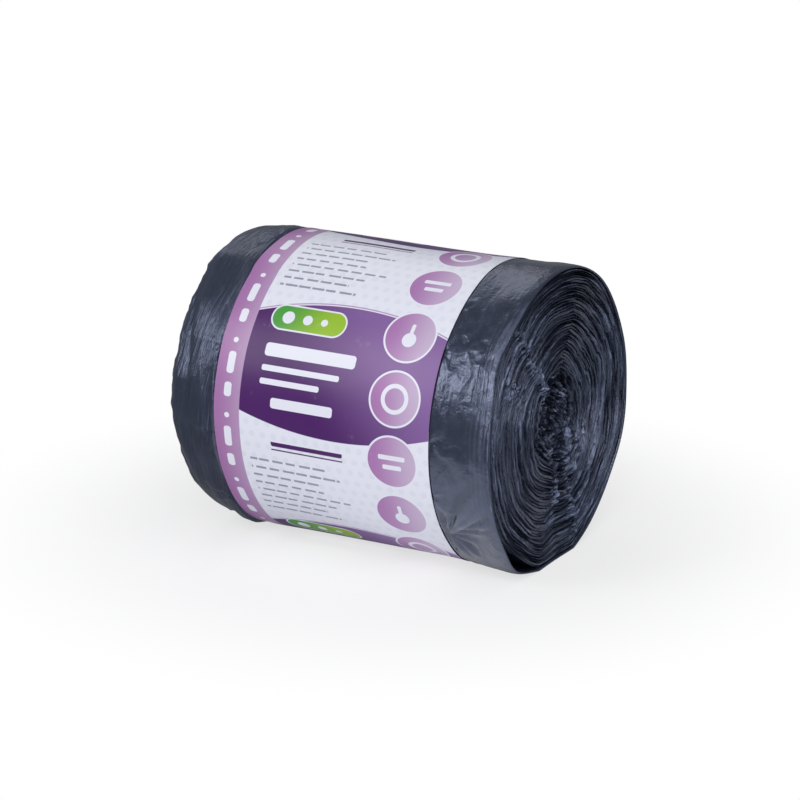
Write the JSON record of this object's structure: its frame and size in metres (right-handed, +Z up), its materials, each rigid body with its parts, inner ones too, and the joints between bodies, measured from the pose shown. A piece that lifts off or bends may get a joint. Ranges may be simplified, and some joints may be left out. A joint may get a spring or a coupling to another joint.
{
  "type": "bin bag roll",
  "caption": "Coreless roll of dark film bin bags lying on its side, its spiral turns showing at both ends, with a printed paper label band round it.",
  "frame": {"origin": "on the surface that the roll lies on, under the middle of the roll, at the centre of its flat spot", "axes": "+X along the roll towards its near end, the one with the sharp rim; +Z up; +Y towards the back, where the label's lap is"},
  "size_m": [0.125, 0.1044, 0.1028],
  "materials": {
    "bag_film": "satin",
    "label_paper": "satin"
  },
  "bodies": {
    "root": {"bag_roll": "bag_film", "label_band": "label_paper"}
  },
  "joints": []
}
